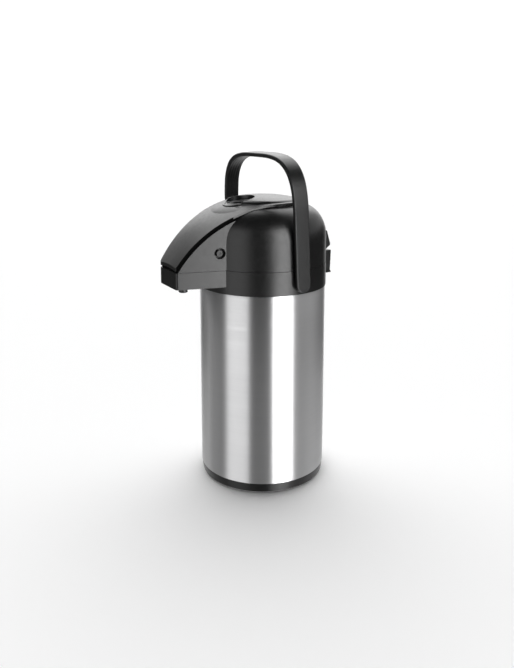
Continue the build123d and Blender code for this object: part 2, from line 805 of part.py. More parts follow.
with BuildPart() as lid_shell:
    add(dome_skin)
    add(nose_core.part)
    add(nose_rib.part)
    # wedge above the rear hinge
    with BuildSketch(Plane.YZ.offset(-hinge_half)):
        with BuildLine():
            Polyline(
                (lid_radius - 7, parting + 32.9),
                (lid_radius + 1.0, parting + 31.9),
                (lid_radius + 2.2, parting + 30.4),
                (wedge_out, parting + 14.9),
                (wedge_out - 0.4, parting + 13.9),
                (lid_radius + 0.6, parting + 9.4),
                (lid_radius - 7, parting + 9.4),
                close=True,
            )
        make_face()
    extrude(amount=2 * hinge_half)
    add(dome_hollow, mode=Mode.SUBTRACT)
    add(nose_cavity.part, mode=Mode.SUBTRACT)
    add(lid_fittings.part)
    add(release_cups.part)
    add(cover_layer.part, mode=Mode.SUBTRACT)
    with BuildSketch(Plane.XY.offset(lid_low)):
        Circle(hole_radius)
    extrude(amount=rim_z, mode=Mode.SUBTRACT)
    # post of the lock dial, joined to the guide
    with BuildSketch(Plane.XY.offset(post_low)):
        with Locations((0, dial_y)):
            Circle(dial_post_radius)
    extrude(amount=sky - post_low)
    with BuildSketch(dial_plane):
        Circle(2 * dial_post_radius)
    extrude(amount=sky - rim_z, mode=Mode.SUBTRACT)
    with BuildSketch(dial_plane):
        Circle(dial_radius + dial_gap)
    extrude(amount=-pocket_depth, mode=Mode.SUBTRACT)
    with BuildSketch(dial_plane):
        Circle(dial_shaft + running_fit)
    extrude(amount=-(dial_z - post_low + 2), mode=Mode.SUBTRACT)
    with BuildSketch(Plane.XY.offset(post_low)):
        with Locations((0, dial_y)):
            Circle(dial_post_radius - 2.4)
    extrude(amount=post_hollow, mode=Mode.SUBTRACT)
    # knuckle of the hinge, hanging from the wedge
    with BuildSketch(Plane.YZ.offset(-knuckle_half)):
        with Locations((hinge_y, hinge_z)):
            Circle(knuckle_radius)
        with Locations((hinge_y, hinge_z + 4.4)):
            Rectangle(2 * knuckle_radius, 8.8)
    extrude(amount=2 * knuckle_half)
    add(side_rod(1, hinge_pin_radius + running_fit, -knuckle_half - 1, knuckle_half + 1, hinge_y, hinge_z),
        mode=Mode.SUBTRACT)
    # recesses and bores of the release buttons
    for side in (-1, 1):
        add(side_rod(side, release_recess, cup_in + 1.5, recess_x + 6, release_y, release_z),
            mode=Mode.SUBTRACT)
        add(side_rod(side, release_radius + slip_fit, cup_in - 1, recess_x, release_y, release_z),
            mode=Mode.SUBTRACT)
    # screw holes
    with BuildSketch(Plane.XY.offset(plate_high)):
        with PolarLocations(boss_ring, 4, start_angle=45):
            Circle(screw_radius + running_fit)
    extrude(amount=lid_screw_bite, mode=Mode.SUBTRACT)
save(lid_shell, "lid_shell")

with BuildPart() as lid_base_plate:
    add(disc(lid_radius - lid_wall - 0.2, plate_low, plate_high, head_radius + 3.6))
    with BuildSketch(Plane.XY.offset(plate_low)):
        with PolarLocations(boss_ring, 4, start_angle=45):
            Circle(screw_radius + slip_fit)
    extrude(amount=plate_high - plate_low, mode=Mode.SUBTRACT)
    # stiffening rim on top, outside the pump's flange
    with BuildSketch(Plane.XY.offset(plate_high)):
        Circle(head_radius + 11.0)
        Circle(head_radius + 9.4, mode=Mode.SUBTRACT)
    extrude(amount=2.0)
save(lid_base_plate, "lid_base_plate")

with BuildPart() as lid_screws:
    with BuildSketch(Plane.XY.offset(plate_low - 1.4)):
        with PolarLocations(boss_ring, 4, start_angle=45):
            Circle(screw_head)
    extrude(amount=1.4)
    with BuildSketch(Plane.XY.offset(plate_low)):
        with PolarLocations(boss_ring, 4, start_angle=45):
            Circle(screw_radius)
    extrude(amount=plate_high - plate_low + lid_screw_bite - 1)
save(lid_screws, "lid_screws")

# ------------------------------------------------------------------ pump
air_inner = 12.0
stem_radius = 2.0
flap_radius = 16.5
flap_thick = 0.8
with BuildPart() as pump_base:
    add(disc(head_radius + 3.4, pump_low, plate_high))
    add(disc(head_radius + 8.0, plate_high, flange_top))
    with BuildSketch(Plane.XY.offset(pump_low)):
        with PolarLocations(air_inner, 6):
            Circle(air_hole)
        Circle(stem_radius + running_fit)
    extrude(amount=flange_top - pump_low, mode=Mode.SUBTRACT)
save(pump_base, "pump_base")

with BuildPart() as check_valve:
    add(disc(flap_radius, pump_low - flap_thick, pump_low))
    add(disc(stem_radius, pump_low, flange_top))
    add(disc(stem_radius + 1.2, flange_top, flange_top + 1.2))
save(check_valve, "check_valve")

seal_inner = 28.0
with BuildPart() as lid_seal:
    add(disc(seal_inner + 6.0, seal_low, pump_low, seal_inner))
    chamfer(lid_seal.edges().group_by(Axis.Z)[0], 0.4)
save(lid_seal, "lid_seal")

skirt_radius = bellows_radius + 5.0
bellows_flange = 2.0
fold_low = flange_top + bellows_flange
fold_pitch = (bellows_top - 1.2 - fold_low) / bellows_folds


def bellows_outline(shift):
    """Zigzag of the bellows' side, from the flange up, moved in by shift."""
    points = []
    for fold in range(bellows_folds):
        z = fold_low + fold * fold_pitch
        points.append((bellows_radius - bellows_fold - shift, z))
        points.append((bellows_radius - shift, z + fold_pitch / 2))
    points.append((bellows_radius - bellows_fold - shift, fold_low + bellows_folds * fold_pitch))
    return points


with BuildPart() as bellows:
    add(turned(
        (skirt_radius, flange_top),
        (skirt_radius, fold_low),
        *bellows_outline(0),
        (bellows_radius - bellows_fold, bellows_top),
        (0, bellows_top),
        (0, bellows_top - 1.2),
        *reversed(bellows_outline(bellows_wall)),
        (bellows_radius - bellows_fold - bellows_wall, flange_top),
    ))
save(bellows, "bellows")

with BuildPart() as bellows_clamp_ring:
    add(turned(
        (skirt_radius + slip_fit, flange_top),
        (skirt_radius + 6.0, flange_top),
        (skirt_radius + 6.0, fold_low + 1.4),
        (bellows_radius + 1.2, fold_low + 1.4),
        (bellows_radius + 1.2, fold_low),
        (skirt_radius + slip_fit, fold_low),
    ))
save(bellows_clamp_ring, "bellows_clamp_ring")

spring_low = flange_top + spring_wire / 2
spring_high = bellows_top - 1.2 - spring_wire / 2
with BuildPart() as return_spring:
    with BuildLine() as coil:
        Helix((spring_high - spring_low) / spring_turns, spring_high - spring_low, spring_radius,
              center=(0, 0, spring_low))
    with BuildSketch(Plane(coil.line @ 0, (1, 0, 0), coil.line % 0)):
        Circle(spring_wire / 2)
    sweep(is_frenet=True)
save(return_spring, "return_spring")

# ------------------------------------------------------------------ button
notch_radius = dial_post_radius + 0.5
crown_top = rim_z + button_rise
crown_rim = crown_top - button_radius**2 / (2 * button_crown)
notch_wall = 1.5
notch_low = rim_z - 12.0
plunger_radius = 9.0
plunger_face = rim_z + 2.0
press_radius = bellows_radius - 1.0
skirt_in = button_radius - button_wall


def crown_z(radius, drop):
    """Height of the crown at a radius, lowered by drop."""
    return crown_top - drop - radius**2 / (2 * button_crown)


with BuildPart() as button_block:
    with BuildSketch(Plane.XZ) as cap:
        with BuildLine():
            ThreePointArc(
                (0, crown_top), (button_radius / 2, crown_z(button_radius / 2, 0)), (button_radius, crown_rim)
            )
            Polyline((button_radius, crown_rim), (button_radius, button_low), (0, button_low), (0, crown_top))
        make_face()
        fillet(cap.vertices().group_by(Axis.X)[-1].sort_by(Axis.Y)[-1], button_edge)
    revolve(axis=Axis.Z)
with BuildPart() as button_hollow:
    with BuildSketch(Plane.XZ):
        with BuildLine():
            ThreePointArc(
                (0, crown_top - button_wall),
                (skirt_in / 2, crown_z(skirt_in / 2, button_wall)),
                (skirt_in - button_edge, crown_z(skirt_in - button_edge, button_wall)),
            )
            Polyline(
                (skirt_in - button_edge, crown_z(skirt_in - button_edge, button_wall)),
                (skirt_in, crown_rim - button_edge),
                (skirt_in, button_low - 1),
                (0, button_low - 1),
                (0, crown_top - button_wall),
            )
        make_face()
    revolve(axis=Axis.Z)
with BuildPart() as button_fittings:
    # wall round the notch, and the seat of the plunger, both running up into the crown
    with BuildSketch(Plane.XY.offset(notch_low)):
        with Locations((0, dial_y)):
            Circle(notch_radius + notch_wall)
    extrude(amount=sky - notch_low)
    with BuildSketch(Plane.XY.offset(plunger_face)):
        Circle(plunger_radius + 2)
    extrude(amount=sky - plunger_face)
    add(button_block.part, mode=Mode.INTERSECT)

with BuildPart() as push_button:
    add(button_block.part)
    add(button_hollow.part, mode=Mode.SUBTRACT)
    add(button_fittings.part)
    # retaining flange below the guide
    with BuildSketch(Plane.XY.offset(button_low)):
        Circle(hole_radius + guide_wall - body_gap)
        Circle(skirt_in, mode=Mode.SUBTRACT)
    extrude(amount=guide_low - 2 * body_gap - button_low)
    with BuildSketch(Plane.XY.offset(button_low - 1)):
        with Locations((0, dial_y)):
            Circle(notch_radius)
    extrude(amount=sky - button_low, mode=Mode.SUBTRACT)
save(push_button, "push_button")

with BuildPart() as button_plunger:
    add(disc(press_radius, press_low, press_top))
    add(disc(plunger_radius, press_top, plunger_face, plunger_radius - 2.0))
    with BuildSketch(Plane.XY.offset(press_top)):
        with PolarLocations(plunger_radius + 6.0, 3, start_angle=30):
            Rectangle(12.4, 2.0)
    extrude(amount=8.0)
save(button_plunger, "button_plunger")

# ------------------------------------------------------------------ lock dial
leaf_length = 22.0
leaf_half = 4.6
leaf_arc = (leaf_length**2 / 4 + leaf_half**2) / (2 * leaf_half)
leaf_turn = 44.0
with BuildPart() as lock_dial:
    with BuildSketch(dial_plane.offset(-pocket_depth + dial_gap / 2)):
        Circle(dial_radius)
    extrude(amount=dial_thickness)
    with BuildSketch(dial_plane.offset(-pocket_depth + dial_gap)):
        Circle(dial_shaft)
    extrude(amount=-(cam_drop - pocket_depth + dial_gap))
    # eye-shaped finger hollow
    with BuildSketch(dial_plane.offset(-dial_gap / 2)):
        with Locations(Location((2.0, -0.5, 0), (0, 0, leaf_turn))):
            with Locations((0, leaf_arc - leaf_half)):
                Circle(leaf_arc)
            with Locations((0, leaf_half - leaf_arc)):
                Circle(leaf_arc, mode=Mode.INTERSECT)
    extrude(amount=-dial_thickness * 0.7, mode=Mode.SUBTRACT)
    # raised pointer
    with BuildSketch(dial_plane.offset(-pocket_depth + dial_gap / 2 + dial_thickness)):
        with Locations((-9.0, -8.0)):
            Circle(1.7)
    extrude(amount=0.9)
save(lock_dial, "lock_dial")

with BuildPart() as lock_cam:
    with BuildSketch(dial_plane.offset(-cam_drop)):
        Circle(dial_shaft + 2.4)
        with Locations((0, 5.0)):
            Rectangle(5.0, 10.0)
        Circle(dial_shaft, mode=Mode.SUBTRACT)
    extrude(amount=1.6)
save(lock_cam, "lock_cam")

# ------------------------------------------------------------------ release buttons
stud_face = recess_x - 0.6
collar_flange = cup_in - 0.2
arm_thick = 2.4
arm_out = collar_flange - 1.4
hook_top = keeper_z - 1.0
hook_low = hook_top - 2.4
hook_in = arm_out - arm_thick
hook_reach = keeper_in - 1.2 - hook_in
for side, word in ((-1, "left"), (1, "right")):
    with BuildPart() as release_button:
        add(side_rod(side, release_radius, arm_out - arm_thick, stud_face, release_y, release_z))
        add(side_rod(side, release_radius + 1.4, arm_out - 0.2, collar_flange, release_y, release_z))
        add(side_rod(side, release_radius / 2.6, stud_face - 0.8, stud_face + 1, release_y, release_z),
            mode=Mode.SUBTRACT)
        # arm down to the catch
        with BuildSketch(Plane.XY.offset(hook_low)):
            with Locations((side * (arm_out - arm_thick / 2), release_y)):
                Rectangle(arm_thick, 5.0)
        extrude(amount=release_z + release_radius - hook_low)
        with BuildSketch(Plane.XY.offset(hook_low)):
            with Locations((side * (hook_in + hook_reach / 2), release_y)):
                Rectangle(hook_reach, 5.0)
        extrude(amount=hook_top - hook_low)
    save(release_button, f"release_button_{word}")
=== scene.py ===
# %% [markdown]
# # A thermal coffee airpot
# A pump pot keeps coffee hot in a steel vacuum flask and pours it when the big button on its lid
# is pressed.  The engineering model gives every part its size and place.  This lesson loads it,
# builds the pieces whose edges and curves deserve closer work, and finishes every surface.

# %% Load the frame
import json
import math

import bpy
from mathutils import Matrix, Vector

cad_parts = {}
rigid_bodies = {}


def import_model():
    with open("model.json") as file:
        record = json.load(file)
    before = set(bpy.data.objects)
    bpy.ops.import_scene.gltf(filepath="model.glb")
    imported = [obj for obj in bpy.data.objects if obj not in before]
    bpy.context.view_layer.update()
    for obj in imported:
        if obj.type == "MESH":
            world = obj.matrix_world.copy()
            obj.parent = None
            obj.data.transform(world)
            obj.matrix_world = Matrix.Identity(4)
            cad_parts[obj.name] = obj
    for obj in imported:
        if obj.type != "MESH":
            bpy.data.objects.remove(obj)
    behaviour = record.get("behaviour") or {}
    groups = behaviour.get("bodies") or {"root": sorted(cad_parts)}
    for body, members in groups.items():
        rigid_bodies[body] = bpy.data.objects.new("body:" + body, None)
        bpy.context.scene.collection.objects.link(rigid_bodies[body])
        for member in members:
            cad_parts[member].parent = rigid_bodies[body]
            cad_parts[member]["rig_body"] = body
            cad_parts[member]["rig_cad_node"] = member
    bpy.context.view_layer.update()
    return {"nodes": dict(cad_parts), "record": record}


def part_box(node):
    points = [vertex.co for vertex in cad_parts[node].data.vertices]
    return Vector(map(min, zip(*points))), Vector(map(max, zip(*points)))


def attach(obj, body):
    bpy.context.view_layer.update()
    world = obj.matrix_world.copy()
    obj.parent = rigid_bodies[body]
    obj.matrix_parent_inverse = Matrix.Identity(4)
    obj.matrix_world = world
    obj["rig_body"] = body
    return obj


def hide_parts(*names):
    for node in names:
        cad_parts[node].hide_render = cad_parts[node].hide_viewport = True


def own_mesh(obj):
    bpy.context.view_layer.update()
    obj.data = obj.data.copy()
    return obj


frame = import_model()
nodes = frame["nodes"]
record = frame["record"]
body_of_node = {
    node: body
    for body, members in record["behaviour"]["bodies"].items()
    for node in members
}

# %% [markdown]
# ## The camera
# The pot is seen from its right-hand side with the nose to the left, from a little above the
# button.  A normal lens close by gives the foot its round edge.  The lens looks slightly down, and
# a small downward shift leaves more white below the pot than above it.  The Standard view is used
# because it keeps a white cloth white and a black moulding black.

# %% Camera
VIEW_TURN = 60.0
VIEW_DISTANCE = 0.7962
VIEW_HEIGHT = 0.4088
VIEW_DIP = 9.826
VIEW_ASIDE = 0.447
LENS = 37.78
SHIFT_DOWN = -0.1347

turn = math.radians(VIEW_TURN)
camera_data = bpy.data.cameras.new("camera")
camera = bpy.data.objects.new("camera", camera_data)
bpy.context.scene.collection.objects.link(camera)
camera.location = (VIEW_DISTANCE * math.sin(turn), -VIEW_DISTANCE * math.cos(turn), VIEW_HEIGHT)
camera.rotation_euler = (math.radians(90.0 - VIEW_DIP), 0.0, turn + math.radians(VIEW_ASIDE))
camera_data.lens = LENS
camera_data.sensor_width = 36.0
camera_data.shift_y = SHIFT_DOWN
camera_data.clip_end = 50.0
bpy.context.scene.camera = camera
bpy.context.scene.view_settings.view_transform = "Standard"
print("camera at", [round(value, 3) for value in camera.location], "with lens", LENS)

# %% [markdown]
# ## The floor
# The pot stands on matt white paper.  A wide disc of nearly white paint does for it.  It is kept
# out of reflections, because such paper is too dull and too far below the lid to show in the steel.

# %% Floor
FLOOR_RADIUS = 12.0
FLOOR_GREY = 0.95


def studio_paint(name, grey, rough):
    """Plain painted surface for the floor."""
    paint = bpy.data.materials.new(name)
    paint.use_nodes = True
    shader = paint.node_tree.nodes["Principled BSDF"]
    shader.inputs["Base Color"].default_value = (grey, grey, grey, 1.0)
    shader.inputs["Roughness"].default_value = rough
    shader.inputs["Specular IOR Level"].default_value = 0.1
    return paint


bpy.ops.object.select_all(action="DESELECT")
bpy.ops.mesh.primitive_circle_add(vertices=96, radius=FLOOR_RADIUS, fill_type="NGON", location=(0, 0, 0))
floor = bpy.context.object
floor.name = "floor"
floor.data.materials.append(studio_paint("floor_paint", FLOOR_GREY, 0.95))
floor.visible_glossy = False
print("floor radius:", FLOOR_RADIUS)

# %% [markdown]
# ## The room
# Lamps could light the pot, but soft light from the whole room gives the quiet shadow in front of
# it: strong from behind the pot and weak from the camera's side.  Reflections see another room.
# Its ceiling and front are dark, which is what leaves the black shoulder on the lid's dome, and its
# far wall is bright and brighter still higher up, which lights the button's rim.  The camera itself
# sees plain white.  The Light Path node tells the three apart.

# %% Room light
FRONT_LIGHT = 0.35
BACK_LIGHT = 3.60
CEILING_DARK = 0.03
HIGH_BACK_GLOW = 2.6
SEEN_WHITE = 1.1

world = bpy.data.worlds.new("room")
bpy.context.scene.world = world
world.use_nodes = True
room_nodes = world.node_tree.nodes
room_links = world.node_tree.links
room = room_nodes["Background"]
direction = room_nodes.new("ShaderNodeTexCoord")
behind = room_nodes.new("ShaderNodeVectorMath")
behind.operation = "DOT_PRODUCT"
behind.inputs[1].default_value = (-math.sin(turn), math.cos(turn), 0.0)
fade = room_nodes.new("ShaderNodeMapRange")
fade.interpolation_type = "SMOOTHSTEP"
fade.inputs["From Min"].default_value = 0.05
fade.inputs["From Max"].default_value = 0.50
fade.inputs["To Min"].default_value = CEILING_DARK
fade.inputs["To Max"].default_value = 1.0
split = room_nodes.new("ShaderNodeSeparateXYZ")
lift = room_nodes.new("ShaderNodeMapRange")
lift.interpolation_type = "SMOOTHSTEP"
lift.inputs["From Min"].default_value = 0.02
lift.inputs["From Max"].default_value = 0.40
lift.inputs["To Min"].default_value = 1.0
lift.inputs["To Max"].default_value = HIGH_BACK_GLOW
glow = room_nodes.new("ShaderNodeMath")
glow.operation = "MULTIPLY"
rays = room_nodes.new("ShaderNodeLightPath")
which = room_nodes.new("ShaderNodeMix")
which.data_type = "FLOAT"
spread = room_nodes.new("ShaderNodeMapRange")
spread.inputs["From Min"].default_value = 0.0
spread.inputs["From Max"].default_value = 1.0
spread.inputs["To Min"].default_value = FRONT_LIGHT
spread.inputs["To Max"].default_value = BACK_LIGHT
room_links.new(direction.outputs["Generated"], behind.inputs[0])
room_links.new(behind.outputs["Value"], fade.inputs["Value"])
room_links.new(behind.outputs["Value"], spread.inputs["Value"])
room_links.new(rays.outputs["Is Glossy Ray"], which.inputs[0])
room_links.new(spread.outputs["Result"], which.inputs[2])
room_links.new(direction.outputs["Generated"], split.inputs[0])
room_links.new(split.outputs["Z"], lift.inputs["Value"])
room_links.new(fade.outputs["Result"], glow.inputs[0])
room_links.new(lift.outputs["Result"], glow.inputs[1])
room_links.new(glow.outputs["Value"], which.inputs[3])
seen = room_nodes.new("ShaderNodeMix")
seen.data_type = "FLOAT"
seen.inputs[3].default_value = SEEN_WHITE
room_links.new(rays.outputs["Is Camera Ray"], seen.inputs[0])
room_links.new(which.outputs[0], seen.inputs[2])
room_links.new(seen.outputs[0], room.inputs["Strength"])
room.inputs["Color"].default_value = (1.0, 1.0, 1.0, 1.0)
print("room light in front and behind:", FRONT_LIGHT, BACK_LIGHT)

# %% [markdown]
# ## The screens
# Polished steel shows whatever stands round it.  A tall soft box stands on each side of the camera,
# close to the pot, with a dark gap between them where the camera stands and grey cards further
# round.  Area lamps would do, but their edges and strength are harder to set than those of a plain
# lit cloth, so each one is an upright plane that gives light of its own.  The screens only show in
# reflections: the room above does the lighting.

# %% Soft boxes and cards
SCREEN_DISTANCE = 1.3


def glowing_paint(name, glow):
    """Surface that gives light of its own, as a lit cloth does."""
    paint = bpy.data.materials.new(name)
    paint.use_nodes = True
    tree = paint.node_tree
    tree.nodes.clear()
    light = tree.nodes.new("ShaderNodeEmission")
    light.inputs["Strength"].default_value = glow
    out = tree.nodes.new("ShaderNodeOutputMaterial")
    tree.links.new(light.outputs["Emission"], out.inputs["Surface"])
    return paint


def screen(name, low_angle, high_angle, glow, low=-1.2, high=1.15):
    """Upright screen round the pot between two angles from the camera, right positive."""
    bpy.ops.object.select_all(action="DESELECT")
    bpy.ops.mesh.primitive_plane_add(size=1.0)
    board = bpy.context.object
    board.name = name
    wide = 2 * SCREEN_DISTANCE * math.tan(math.radians(high_angle - low_angle) / 2)
    angle = turn + math.radians((low_angle + high_angle) / 2)
    board.scale = (wide, high - low, 1.0)
    board.location = (
        SCREEN_DISTANCE * math.sin(angle),
        -SCREEN_DISTANCE * math.cos(angle),
        (low + high) / 2,
    )
    board.rotation_euler = (math.radians(90.0), 0.0, angle)
    board.data.materials.append(glowing_paint(name + "_cloth", glow))
    board.visible_camera = False
    board.visible_diffuse = False
    board.visible_shadow = False
    return board


screen("left_soft_box", -66.5, -23.5, 1.5)
screen("right_soft_box", 21.0, 53.0, 7.0)
screen("middle_screen", -24.0, 21.5, 0.03, low=-0.1, high=1.3)
screen("middle_foot", -24.0, 21.5, 0.42, high=-0.1)
screen("left_screen", -112.0, -66.5, 0.16, low=-0.1)
screen("left_foot", -112.0, -66.5, 0.36, high=-0.1)
CARD_LOW = -0.30
CARD_HIGH = 0.40
for card, start, end in (
    ("left_back", -148.0, -112.0),
    ("right", 53.0, 104.0),
    ("right_back", 104.0, 150.0),
):
    screen(card + "_top", start, end, 0.75, low=CARD_HIGH)
    screen(card + "_middle", start, end, 0.05, low=CARD_LOW, high=CARD_HIGH)
    screen(card + "_foot", start, end, 0.75, high=CARD_LOW)

# %% [markdown]
# ## Helpers for the finishes
# Every finish is a Principled shader fed by a little noise on Object coordinates, so nothing slides
# when a part moves.  The same four steps come back each time: place a noise, turn it into a range
# of numbers, turn it into two close colours, and press it into the surface as a bump.  Small
# functions keep the finishes below short.

# %% Helpers for procedural materials
def new_finish(name):
    """Empty material with a Principled shader; gives the material, its nodes, links and shader."""
    finish = bpy.data.materials.new(name)
    finish.use_nodes = True
    tree = finish.node_tree
    return finish, tree.nodes, tree.links, tree.nodes["Principled BSDF"]


def noise_on_object(tree_nodes, links, scale, stretch=(1.0, 1.0, 1.0), detail=2.0):
    """Noise texture on Object coordinates, stretched by axis."""
    place = tree_nodes.new("ShaderNodeTexCoord")
    mapping = tree_nodes.new("ShaderNodeMapping")
    mapping.inputs["Scale"].default_value = stretch
    noise = tree_nodes.new("ShaderNodeTexNoise")
    noise.inputs["Scale"].default_value = scale
    noise.inputs["Detail"].default_value = detail
    links.new(place.outputs["Object"], mapping.inputs["Vector"])
    links.new(mapping.outputs["Vector"], noise.inputs["Vector"])
    return noise


def range_of(tree_nodes, links, value, low, high):
    """Map a 0..1 value to a range."""
    span = tree_nodes.new("ShaderNodeMapRange")
    span.inputs["From Min"].default_value = 0.25
    span.inputs["From Max"].default_value = 0.75
    span.inputs["To Min"].default_value = low
    span.inputs["To Max"].default_value = high
    links.new(value, span.inputs["Value"])
    return span.outputs["Result"]


def two_tone(tree_nodes, links, value, first, second):
    """Blend two colours by a value."""
    ramp = tree_nodes.new("ShaderNodeValToRGB")
    ramp.color_ramp.elements[0].position = 0.3
    ramp.color_ramp.elements[1].position = 0.7
    ramp.color_ramp.elements[0].color = (*first, 1.0)
    ramp.color_ramp.elements[1].color = (*second, 1.0)
    links.new(value, ramp.inputs["Fac"])
    return ramp.outputs["Color"]


def bump_from(tree_nodes, links, shader, height, strength, depth, below=None):
    """Bump on the shader's normal; below is an earlier bump's normal."""
    bump = tree_nodes.new("ShaderNodeBump")
    bump.inputs["Strength"].default_value = strength
    bump.inputs["Distance"].default_value = depth
    links.new(height, bump.inputs["Height"])
    if below is not None:
        links.new(below, bump.inputs["Normal"])
    links.new(bump.outputs["Normal"], shader.inputs["Normal"])
    return bump.outputs["Normal"]

# %% [markdown]
# ## Brushed steel
# The shell is a drawn stainless tube, brushed while it turns, so its scratches run round it.  Each
# scratch scatters light up and down but hardly sideways: that is why reflections smear into
# upright bands with crisp sides.  Anisotropy does most of that, and a bump of very flat noise,
# hundreds of times finer along the height than round the tube, draws the lines themselves.

# %% Steel finishes
def brushed_steel(name, grey, rough, lines, strength):
    """Stainless steel brushed round the Z axis."""
    finish, tree_nodes, links, shader = new_finish(name)
    shader.inputs["Metallic"].default_value = 1.0
    shader.inputs["Anisotropic"].default_value = 0.93
    shader.inputs["Anisotropic Rotation"].default_value = 0.25
    tangent = tree_nodes.new("ShaderNodeTangent")
    tangent.direction_type = "RADIAL"
    tangent.axis = "Z"
    links.new(tangent.outputs["Tangent"], shader.inputs["Tangent"])
    streaks = noise_on_object(tree_nodes, links, 1.0, (14.0, 14.0, lines), 3.0)
    bands = noise_on_object(tree_nodes, links, 1.0, (6.0, 6.0, lines * 0.12), 2.0)
    dark = tuple(0.985 * value for value in grey)
    links.new(two_tone(tree_nodes, links, bands.outputs["Fac"], dark, grey),
              shader.inputs["Base Color"])
    links.new(range_of(tree_nodes, links, streaks.outputs["Fac"], rough * 0.8, rough * 1.25),
              shader.inputs["Roughness"])
    bump_from(tree_nodes, links, shader, streaks.outputs["Fac"], strength, 0.00003)
    return finish


shell_steel = brushed_steel("shell_steel", (0.63, 0.63, 0.635), 0.38, 2600.0, 0.06)
inside_steel = brushed_steel("inside_steel", (0.56, 0.56, 0.57), 0.30, 900.0, 0.15)
print("steel finishes:", shell_steel.name, inside_steel.name)

# %% [markdown]
# ## Moulded plastics
# The lid, the collar and the foot are black plastic with the fine matt grain that a spark-eroded
# mould leaves.  The grain is a bump of two noises, one fine and one coarser, and the gloss varies a
# little from place to place, as handling polishes it.  The bail and the button are a shade smoother.

# %% Plastic finishes
def moulded_plastic(name, colour, rough, grain, strength, gloss=0.5):
    """Opaque moulded plastic with a fine grain."""
    finish, tree_nodes, links, shader = new_finish(name)
    shader.inputs["Specular IOR Level"].default_value = gloss
    fine = noise_on_object(tree_nodes, links, grain, detail=2.0)
    coarse = noise_on_object(tree_nodes, links, grain / 9.0, detail=3.0)
    lighter = tuple(1.35 * value for value in colour)
    links.new(two_tone(tree_nodes, links, coarse.outputs["Fac"], colour, lighter),
              shader.inputs["Base Color"])
    links.new(range_of(tree_nodes, links, coarse.outputs["Fac"], rough * 0.88, rough * 1.14),
              shader.inputs["Roughness"])
    first = bump_from(tree_nodes, links, shader, coarse.outputs["Fac"], strength * 0.5, 0.00002)
    bump_from(tree_nodes, links, shader, fine.outputs["Fac"], strength, 0.000006, first)
    return finish


lid_black = moulded_plastic("lid_black", (0.0030, 0.0030, 0.0031), 0.34, 2600.0, 0.30)
cover_black = moulded_plastic("cover_black", (0.0035, 0.0035, 0.0036), 0.36, 2600.0, 0.30)
button_black = moulded_plastic("button_black", (0.0040, 0.0040, 0.0041), 0.30, 2600.0, 0.25)
bail_black = moulded_plastic("bail_black", (0.0035, 0.0035, 0.0036), 0.33, 3000.0, 0.20)
inner_black = moulded_plastic("inner_black", (0.030, 0.030, 0.031), 0.42, 1500.0, 0.20)
foot_black = moulded_plastic("foot_black", (0.020, 0.020, 0.020), 0.75, 1200.0, 0.60, 0.3)
print("plastics:", [finish.name for finish in (lid_black, cover_black, button_black, bail_black,
                                               inner_black, foot_black)])

# %% [markdown]
# ## Soft and milky parts
# Inside, the siphon tubes are translucent white plastic, and the seals and the bellows are milky
# silicone.  Both let light sink in and scatter, which subsurface scattering gives them.

# %% Milky finishes
def milky(name, colour, rough, depth, through=0.0):
    """Milky plastic or silicone; through lets part of the light pass."""
    finish, tree_nodes, links, shader = new_finish(name)
    cloud = noise_on_object(tree_nodes, links, 90.0, detail=3.0)
    duller = tuple(0.90 * value for value in colour)
    links.new(two_tone(tree_nodes, links, cloud.outputs["Fac"], duller, colour),
              shader.inputs["Base Color"])
    links.new(range_of(tree_nodes, links, cloud.outputs["Fac"], rough * 0.85, rough * 1.2),
              shader.inputs["Roughness"])
    shader.inputs["Subsurface Weight"].default_value = 0.35
    shader.inputs["Subsurface Scale"].default_value = depth
    shader.inputs["Transmission Weight"].default_value = through
    bump_from(tree_nodes, links, shader, cloud.outputs["Fac"], 0.10, 0.0002)
    return finish


tube_white = milky("tube_white", (0.75, 0.74, 0.70), 0.30, 0.002, 0.15)
seal_silicone = milky("seal_silicone", (0.72, 0.71, 0.68), 0.50, 0.003)
bellows_milk = milky("bellows_milk", (0.68, 0.67, 0.64), 0.55, 0.003)
print("milky finishes:", tube_white.name, seal_silicone.name, bellows_milk.name)

# %% [markdown]
# ## A finish for every part
# The record names a material slot for each part, such as brushed_steel or silicone.  One table from
# slot to finish is enough to dress all the parts of the engineering model at once.

# %% Finishes by slot
finish_of_slot = {
    "brushed_steel": shell_steel,
    "plain_steel": inside_steel,
    "black_plastic": lid_black,
    "button_plastic": button_black,
    "bail_plastic": bail_black,
    "inner_plastic": inner_black,
    "tube_plastic": tube_white,
    "silicone": seal_silicone,
    "bellows_rubber": bellows_milk,
    "foot_rubber": foot_black,
}
slot_of_node = {part["node"]: part["material_slot"] for part in record["subparts"]}
for node, thing in nodes.items():
    for socket in thing.material_slots:
        socket.material = finish_of_slot[slot_of_node[node]]
print("nodes given a finish:", len(nodes))

# %% [markdown]
# ## Copies to work on
# The engineering parts themselves are left alone, and a part that needs closer work is copied.  The
# copy takes the part's place and its body, and gets the finish it is given.  Its mesh arrives as
# loose triangles, so their corners are merged first: bevels and smooth shading need faces that know
# their neighbours.

# %% Copying a part
MERGE = 0.000002
SMOOTH_UP_TO = math.radians(35.0)


def only(thing):
    """Select one object and make it active."""
    bpy.ops.object.select_all(action="DESELECT")
    thing.hide_viewport = False
    thing.select_set(True)
    bpy.context.view_layer.objects.active = thing


